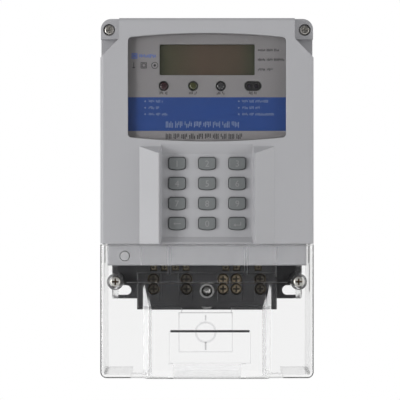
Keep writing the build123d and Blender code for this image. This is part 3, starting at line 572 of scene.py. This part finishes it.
blue_ink = ink("blue_ink", (0.008, 0.04, 0.175))
pale_ink = ink("pale_ink", (0.13, 0.17, 0.27))
dark_ink = ink("dark_ink", (0.008, 0.008, 0.009))
blue_mark = ink("blue_mark_ink", (0.04, 0.09, 0.33))
# the blue band, edge to edge under the window's frame
lamp_row = middle_of("pulse_led").z
band_z = (lamp_row - 0.02574, lamp_row - 0.00645)
band = (plate_low.x + 0.0004, plate_high.x - 0.0004)
band_middle = (band_z[0] + band_z[1]) / 2
printed("blue_band", [box_outline(band[0], band_middle, band[1] - band[0], band_z[1] - band_z[0])], blue_ink)
for side, x in (("left", -0.0354), ("right", 0.0182)):
    ends = {"left": (0.0085, 0.0066, 0.0112), "right": (0.0152, 0.0108, 0.0188)}[side]
    for i, end in enumerate(ends):
        row = band_z[1] - 0.0023 - i * 0.0037
        printed(f"band_dot_{side}_{i}", [disc_outline(x, row, 0.00048)], pale_ink, 2)
        strokes = hatching(x + 0.0021, x + 0.0021 + end, row, 0.0016, 0.00068, (5, 10), 3 + i)
        printed(f"band_line_{side}_{i}", strokes, pale_ink, 2)
title = hatching(-0.0236, 0.0192, band_z[0] + 0.0037, 0.0036, 0.0009, (5, 11, 17, 23, 29, 35, 41), 11)
printed("title_line", title, pale_ink, 2)
maker = hatching(-0.0236, 0.0205, band_z[0] - 0.0031, 0.0032, 0.0009, (4, 9, 14, 19, 24, 29, 34, 39, 44), 12)
printed("maker_line", maker, dark_ink)
# small marks left of the display: a badge, and tick, double-insulation and ring symbols
badge = frame_outlines(-0.0415, lcd_middle.z + 0.0027, 0.0033, 0.003, 0.0005)
badge.append(box_outline(-0.0423, lcd_middle.z + 0.0027, 0.0016, 0.0012))
printed("badge", badge, blue_mark)
badge_line = hatching(-0.0387, -0.0282, lcd_middle.z + 0.0027, 0.0021, 0.00088, (), 5)
printed("badge_line", badge_line, blue_mark)
symbol_z = lcd_middle.z - 0.0027
tick = [box_outline(-0.0421, symbol_z, 0.00035, 0.0036)]
tick.append(box_outline(-0.0427, symbol_z - 0.0012, 0.0015, 0.0004))
printed("phase_symbol", tick, dark_ink)
square = frame_outlines(-0.0362, symbol_z, 0.0035, 0.0035, 0.00035)
square += frame_outlines(-0.0362, symbol_z, 0.0022, 0.0022, 0.00035)
printed("insulation_symbol", square, dark_ink)
ring = ring_outlines(-0.0299, symbol_z, 0.002, 0.00035) + [disc_outline(-0.0299, symbol_z, 0.0007)]
printed("class_symbol", ring, dark_ink)
# rating lines right of the display
for i, (end, drop) in enumerate(((0.0128, -0.0061), (0.0152, -0.0005), (0.0094, 0.0051))):
    strokes = hatching(0.0292, 0.0292 + end, lcd_middle.z - drop, 0.0015, 0.00072, (6, 12), 20 + i)
    printed(f"rating_line_{i}", strokes, dark_ink)
# captions under the lamps and the port
for i, node in enumerate(("pulse_led", "alarm_led", "power_led", "ir_housing")):
    centre = middle_of(node)
    caption = hatching(centre.x - 0.0023, centre.x + 0.0026, centre.z - 0.0041, 0.0019, 0.00078, (3,), 30 + i)
    printed(f"caption_{i}", caption, dark_ink)


# ---------------------------------------------------------------- window
# Clear polycarbonate pane that drops into the front cover from inside, against a step.
# It is flat and polished, with the hair-fine scratches that wiping leaves.
def scratched_clear():
    """Polished clear plastic: a slow ripple of the mould and fine crossing scratches."""
    tree, given, result = new_group(
        "scratched_clear",
        [("Roughness", "Float", 0.03), ("Ripple", "Float", 0.1)],
        [("Roughness", "Float"), ("Normal", "Vector")],
    )
    first = add_noise(tree, 60.0, 3.0, 0.6, (1, 1, 30))
    second = add_noise(tree, 60.0, 3.0, 0.6, (26, 1, 2))
    scratch = add_range(tree, add_math(tree, "MAXIMUM", first, second), 0.66, 0.8)
    tree.links.new(add_math(tree, "MULTIPLY_ADD", scratch, 0.12, given["Roughness"]), result["Roughness"])
    bump = tree.nodes.new("ShaderNodeBump")
    bump.inputs["Distance"].default_value = 0.0002
    tree.links.new(given["Ripple"], bump.inputs["Strength"])
    tree.links.new(add_noise(tree, 45.0, 1.0), bump.inputs["Height"])
    tree.links.new(bump.outputs["Normal"], result["Normal"])
    return tree


clear_group = scratched_clear()


def clear_plastic(name, colour, roughness, ripple):
    """Clear plastic; rays from lamps pass straight through, so what is behind stays lit."""
    made, tree, shader = new_material(name, Transmission_Weight=1.0, IOR=1.49)
    shader.inputs["Base Color"].default_value = (*colour, 1)
    skin = tree.nodes.new("ShaderNodeGroup")
    skin.node_tree = clear_group
    skin.inputs["Roughness"].default_value = roughness
    skin.inputs["Ripple"].default_value = ripple
    tree.links.new(skin.outputs["Roughness"], shader.inputs["Roughness"])
    tree.links.new(skin.outputs["Normal"], shader.inputs["Normal"])
    open_way = tree.nodes.new("ShaderNodeBsdfTransparent")
    open_way.inputs["Color"].default_value = (0.9, 0.9, 0.9, 1)
    choice = tree.nodes.new("ShaderNodeMixShader")
    tree.links.new(tree.nodes.new("ShaderNodeLightPath").outputs["Is Shadow Ray"], choice.inputs["Fac"])
    tree.links.new(shader.outputs["BSDF"], choice.inputs[1])
    tree.links.new(open_way.outputs["BSDF"], choice.inputs[2])
    tree.links.new(choice.outputs["Shader"], tree.nodes["Material Output"].inputs["Surface"])
    return made


lens_clear = clear_plastic("lens_clear", (0.97, 0.97, 0.97), 0.02, 0.04)
finish_nodes(lens_clear, "window_lens")


# ---------------------------------------------------------------- keypad
# Twelve grey rubber keys, moulded with the black mat behind them, stand through the
# front cover. Each cap has a raised figure, worn smooth by fingers.
key_grey = moulded("key_grey", (0.145, 0.155, 0.157), 0.62, 0.08, 0.15, 0.5, 0.05, 0.0005)
figure_grey = moulded("figure_grey", (0.24, 0.24, 0.243), 0.5, 0.08, 0.1, 0.2, 0.0, 0.00008)
mat_rubber = moulded("mat_rubber", (0.05, 0.05, 0.052), 0.75, 0.15, 0.05, 0.6, 0.0)
finish_nodes(mat_rubber, "keypad_mat")
figure_height, figure_rise = 0.0036, 0.00012
arrow_line = 0.00045


def raised_figure(name, digit, centre, front):
    """A digit standing on a key's cap, made as a solid mesh."""
    text = bpy.data.curves.new(name, "FONT")
    text.body = digit
    text.size = figure_height / 0.7
    text.align_x, text.align_y = "CENTER", "CENTER"
    text.extrude = figure_rise / 2
    shape = bpy.data.objects.new(name + "_outline", text)
    bpy.context.scene.collection.objects.link(shape)
    bpy.context.view_layer.update()
    mesh = bpy.data.meshes.new_from_object(shape.evaluated_get(bpy.context.evaluated_depsgraph_get()))
    bpy.data.objects.remove(shape)
    across = [v.co.x for v in mesh.vertices]
    up = [v.co.y for v in mesh.vertices]
    middle_x, middle_z = (min(across) + max(across)) / 2, (min(up) + max(up)) / 2
    for v in mesh.vertices:
        x, z, out = v.co.x - middle_x, v.co.y - middle_z, v.co.z
        v.co = Vector((centre.x + x, front - out, centre.z + z))
    mesh.name = name
    mesh.materials.clear()
    mesh.materials.append(figure_grey)
    piece = bpy.data.objects.new(name, mesh)
    bpy.context.scene.collection.objects.link(piece)
    return piece


def arrow_outlines(x, z, reach, turn):
    """A left-pointing arrow; with a turn its tail rises at the right, as on an enter key."""
    head = [(x - reach, z), (x - reach + 0.0012, z + 0.0009), (x - reach + 0.0012, z - 0.0009)]
    strokes = [head, box_outline(x - reach + 0.0012, z, 2 * reach - 0.0012, arrow_line)]
    if turn:
        strokes.append(box_outline(x + reach - arrow_line, z + turn / 2 + arrow_line / 2, arrow_line, turn))
    return strokes


key_bodies = [name for name in frame["bodies"] if name.startswith("key_")]
for key in key_bodies:
    finish_nodes(key_grey, key)
    centre, front = middle_of(key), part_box(key)[0].y
    label = key[4:]
    if label.isdigit():
        figure = raised_figure(f"{key}_figure", label, centre, front)
        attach(figure, key)
    else:
        turn = 0.0016 if label == "enter" else 0.0
        strokes = arrow_outlines(centre.x, centre.z - turn / 2, 0.0022, turn)
        printed(f"{key}_figure", strokes, figure_grey, 1, key, front)


# ---------------------------------------------------------------- opening detector
# A grey plunger of the same plastic as the cover stands through the lip; fitting the
# terminal cover pushes it in. It is a separate moulding, smoother than the case.
plunger_grey = moulded("plunger_grey", (0.4, 0.4, 0.41), 0.42, 0.03, 0.1, 0.15, 0.05, 0.0004)
finish_nodes(plunger_grey, "tamper_plunger")


# ---------------------------------------------------------------- terminal cover
# One clear polycarbonate moulding over the terminals and cables: flat above, bulged
# below, with a tube for each seal screw. It pulls straight off the front.
cover_clear = clear_plastic("cover_clear", (0.95, 0.95, 0.95), 0.03, 0.04)
finish_nodes(cover_clear, "terminal_cover")
seal_values = ((0.82, 0.8, 0.76), (0.45, 0.4, 0.33), 0.3, 0.3)
# the darker brown below the front of the heads is painted shade
screw_metal("seal_steel", "cover_seal_screws", (0.1, 0.06, 0.035), *seal_values)
# Rough clear films on the fold, ribs, edges, knock-out and the collars of the seal screws paint the lines
# these catch: painted highlight, pale over the black block, and painted shade, grey over a light wall.
painted_glint_clear = clear_plastic("painted_glint_clear", (0.84, 0.84, 0.85), 0.38, 0.3)
soft_painted_glint_clear = clear_plastic("soft_painted_glint_clear", (0.9, 0.9, 0.9), 0.2, 0.3)
cover_face = -0.06
crest_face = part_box("terminal_cover")[0].y + 0.0012


def cover_line(name, outlines, face=cover_face, material=painted_glint_clear):
    """A raised line of painted highlight and shade on the terminal cover: on its flat front, or on another
    face.
    """
    return printed(name, outlines, material, 1, "terminal_cover", face)


def span(x, end, low, high):
    """An upright rectangle between two x and two z values."""
    return [(x, low), (end, low), (end, high), (x, high)]


def painted_glare(name, density):
    """Painted glare and shade of a steep clear wall: a half-clear pale film, denser in long streaks."""
    made, tree, shader = new_material(name, Roughness=0.5)
    glare_streak = add_noise(tree, 70.0, 1.0, 0.5, (1, 1, 0.25))
    shade = add_mix(tree, glare_streak, (0.7, 0.7, 0.71), (0.92, 0.92, 0.93))
    tree.links.new(shade, shader.inputs["Base Color"])
    veil = add_range(tree, glare_streak, 0.25, 0.75, density * 0.75, min(1.0, density * 1.25))
    tree.links.new(veil, shader.inputs["Alpha"])
    return made


def film(name, corners, faces, material):
    """A film of painted glare inside a wall of the cover, through these corners."""
    mesh = bpy.data.meshes.new(name)
    mesh.from_pydata(corners, [], faces)
    mesh.materials.append(material)
    piece = bpy.data.objects.new(name, mesh)
    bpy.context.scene.collection.objects.link(piece)
    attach(piece, "terminal_cover")


# pale half-clear films paint the glare of the cover's steep walls and foot
ramp_glare = painted_glare("ramp_glare", 0.75)
wall_glare = painted_glare("wall_glare", 0.36)
foot_glare = painted_glare("foot_glare", 0.4)
# fold above the bulge, top edge, and the ribs that show through the flat part
line_half = 0.0002
cover_line("crease_line", [span(-0.046, 0.046, -0.0483, -0.04795)])
cover_line("top_line", [span(-0.0602, 0.0602, -0.0272, -0.0267)])
ribs = []
for x in (-0.0216, 0.0222):
    for middle in (x - 0.0008, x + 0.0008):
        ribs.append(span(middle - line_half, middle + line_half, -0.0436, -0.0278))
ribs += [span(-0.0378, -0.0374, -0.0382, -0.0275), span(0.0392, 0.0397, -0.045, -0.0275)]
cover_line("rib_lines", ribs)
# step at the top of the bulge, which turns down beside the knock-out
step_low, step_high, step_foot = -0.0626, -0.0622, -0.065
step_lines = [span(-0.033, -0.0143, step_low, step_high), span(0.0137, 0.0352, step_low, step_high)]
step_lines += [span(-0.0146, -0.0142, step_foot, step_high), span(0.0136, 0.014, step_foot, step_high)]
cover_line("step_lines", step_lines, crest_face)
seal_z, seal_out = -0.0478, 0.0524
collar = [(0.0034, cover_face), (0.0034, cover_face - 0.0004), (0.0037, cover_face - 0.0006)]
collar += [(0.0044, cover_face - 0.0006), (0.0047, cover_face - 0.0003), (0.0047, cover_face)]
ramp_top, ramp_foot = -0.0492, -0.0616
for hand, side in (("left", -1), ("right", 1)):
    # side wall of the bulge, in the middle of its thickness: a ramp above, then down to the foot
    base, crest = side * 0.0358, side * 0.0329
    wall_face, wall_crest = cover_face - 0.0003, cover_face - 0.0069
    ramp = [(base, wall_face, ramp_top), (base, wall_face, ramp_foot), (crest, wall_crest, ramp_foot)]
    film(f"ramp_painted_glare_{hand}", ramp, [(0, 1, 2)], ramp_glare)
    wall = [(base, wall_face, ramp_foot), (crest, wall_crest, ramp_foot)]
    wall += [(crest, wall_crest, -0.0975), (base, wall_face, -0.1012)]
    film(f"wall_painted_glare_{hand}", wall, [(0, 1, 2, 3)], wall_glare)
    edge = sorted((side * 0.0586, side * 0.0596))
    cover_line(f"edge_{hand}", [span(*edge, -0.1, -0.0285)], cover_face, soft_painted_glint_clear)
    # collar of the seal screw and the web above and below it
    seal_x = side * seal_out
    web = (seal_x - 0.0018, seal_x + 0.0018)
    webs = [span(*web, -0.0431, -0.0385), span(*web, -0.0575, -0.0525)]
    cover_line(f"seal_web_{hand}", webs, cover_face, soft_painted_glint_clear)
    seal_middle = Vector((seal_x, 0, seal_z))
    turned_ring(f"seal_collar_{hand}", seal_middle, collar, soft_painted_glint_clear, "terminal_cover")
# knock-out, label field, and a film of painted glare and shade across the foot between the two inner ribs
knock_x, knock_z = -0.0008, -0.0761
frame_lines = frame_outlines(knock_x, knock_z, 0.0308, 0.0228, 0.0006)
frame_lines += ring_outlines(knock_x, knock_z, 0.0062, 0.0012)
cover_line("knockout_lines", frame_lines, crest_face)
label = frame_outlines(0.0016, -0.0846, 0.0465, 0.0184, 0.0004)
cover_line("label_edge", label, crest_face - 0.0004)
foot_half, foot_back, foot_front = 0.0193, cover_face - 0.003, crest_face + 0.0012
field = [(-foot_half, foot_front, -0.0946), (foot_half, foot_front, -0.0946)]
field += [(foot_half, foot_front, -0.0978), (-foot_half, foot_front, -0.0978)]
field += [(foot_half, foot_back, -0.1018), (-foot_half, foot_back, -0.1018)]
film("foot_painted_glare", field, [(0, 1, 2, 3), (3, 2, 4, 5)], foot_glare)
# dark adhesive strip along the label ledge, and the ticks of the knock-out
strip_ink = moulded("strip_black", (0.05, 0.05, 0.055), 0.4, 0.1, 0.1, 0.2, 0.0)
cover_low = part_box("terminal_cover")[0]
ledge, ledge_end = -0.0208, 0.0241
ledge_outline = box_outline(ledge, cover_low.z + 0.0275, ledge_end - ledge, 0.0013)
ticks = [span(knock_x - 0.0004, knock_x + 0.0004, -0.0695, -0.0665)]
ticks += [span(knock_x - 0.0005, knock_x + 0.0005, -0.0862, -0.0818)]
smoke_clear = clear_plastic("smoke_clear", (0.45, 0.45, 0.46), 0.3, 0.3)
cover_line("knockout_ticks", ticks, crest_face, smoke_clear)
printed("label_strip", [ledge_outline], strip_ink, 1, "terminal_cover", cover_low.y + 0.0001)


# ---------------------------------------------------------------- studio
# A plain pale floor well under the meter, one large soft lamp on the left, a weaker one
# on the right, and a white surround. The camera looks straight at the front.
floor_mesh = bpy.data.meshes.new("floor")
build = bmesh.new()
bmesh.ops.create_circle(build, cap_ends=True, segments=96, radius=3.8)
build.to_mesh(floor_mesh)
build.free()
floor = bpy.data.objects.new("floor", floor_mesh)
floor.location = (0, 0, -0.5)
bpy.context.scene.collection.objects.link(floor)
floor_paint, floor_tree, floor_shader = new_material("floor_paint", Roughness=0.9)
floor_tint = add_mix(floor_tree, add_noise(floor_tree, 3.0), (0.86, 0.86, 0.86), (0.9, 0.9, 0.9))
floor_tree.links.new(floor_tint, floor_shader.inputs["Base Color"])
floor_mesh.materials.append(floor_paint)


def soft_lamp(name, place, size, power):
    lamp = bpy.data.lights.new(name, "AREA")
    lamp.shape = "RECTANGLE"
    lamp.size, lamp.size_y = size
    lamp.energy = power
    holder = bpy.data.objects.new(name, lamp)
    holder.location = place
    holder.rotation_euler = (-Vector(place)).to_track_quat("-Z", "Y").to_euler()
    bpy.context.scene.collection.objects.link(holder)


soft_lamp("lamp_left", (-1.55, -1.15, 0.1), (0.6, 1.0), 21.0)
soft_lamp("lamp_right", (1.75, -0.85, 0.0), (0.9, 1.4), 15.0)

# mirrored rays find the bright backdrop behind the meter and a dark room in front of it
world = bpy.data.worlds.new("surround")
bpy.context.scene.world = world
world.use_nodes = True
sky = world.node_tree
glow = sky.nodes["Background"]
ray = sky.nodes.new("ShaderNodeLightPath")
heading = sky.nodes.new("ShaderNodeSeparateXYZ")
sky.links.new(sky.nodes.new("ShaderNodeTexCoord").outputs["Generated"], heading.inputs[0])
room = add_range(sky, heading.outputs["Y"], -0.3, 0.5, 0.08, 1.0)
scattered = add_math(sky, "GREATER_THAN", ray.outputs["Diffuse Depth"], 0.5)
mirrored = add_math(sky, "GREATER_THAN", ray.outputs["Glossy Depth"], 0.5)
seen = add_mix(sky, mirrored, (1.0, 1.0, 1.0), room)
strength = add_mix(sky, scattered, seen, (0.5, 0.5, 0.5))
sky.links.new(strength, glow.inputs["Color"])

bpy.context.scene.view_settings.view_transform = "Standard"
camera = bpy.data.objects.new("camera", bpy.data.cameras.new("camera"))
bpy.context.scene.collection.objects.link(camera)
camera.location = (-0.0040, -1.26, -0.0011)
camera.rotation_euler = (math.radians(90), 0, 0)
camera.data.sensor_width = 36.0
camera.data.lens = 189.1
camera.data.clip_start, camera.data.clip_end = 0.05, 50.0
bpy.context.scene.camera = camera
